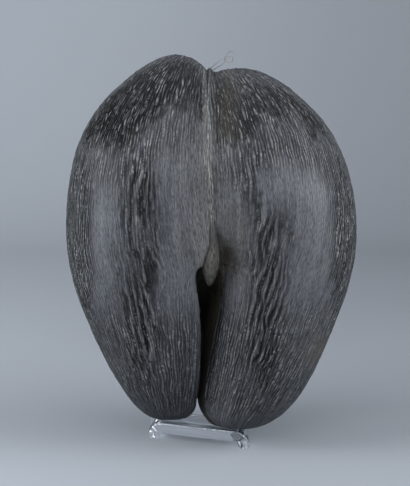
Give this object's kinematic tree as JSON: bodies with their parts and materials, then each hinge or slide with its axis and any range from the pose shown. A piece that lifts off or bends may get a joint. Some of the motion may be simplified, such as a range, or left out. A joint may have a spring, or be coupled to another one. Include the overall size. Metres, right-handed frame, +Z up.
{
  "type": "coco de mer nut on a stand",
  "caption": "Double-lobed coco de mer nut with a notched top, a seam that ends in a tongue and a cleft below, standing upright on a clear bridge stand.",
  "frame": {"origin": "middle of the nut's width and depth, on the floor that the stand's feet rest on", "axes": "+Z up, +X to the viewer's right, -Y towards the viewer, on the side with the tongue"},
  "size_m": [0.2328, 0.1724, 0.3124],
  "materials": {
    "nut_shell": "satin, wrinkled",
    "clear_sheet": "polished"
  },
  "bodies": {
    "root": {"nut": "nut_shell", "stand": "clear_sheet"}
  },
  "joints": []
}
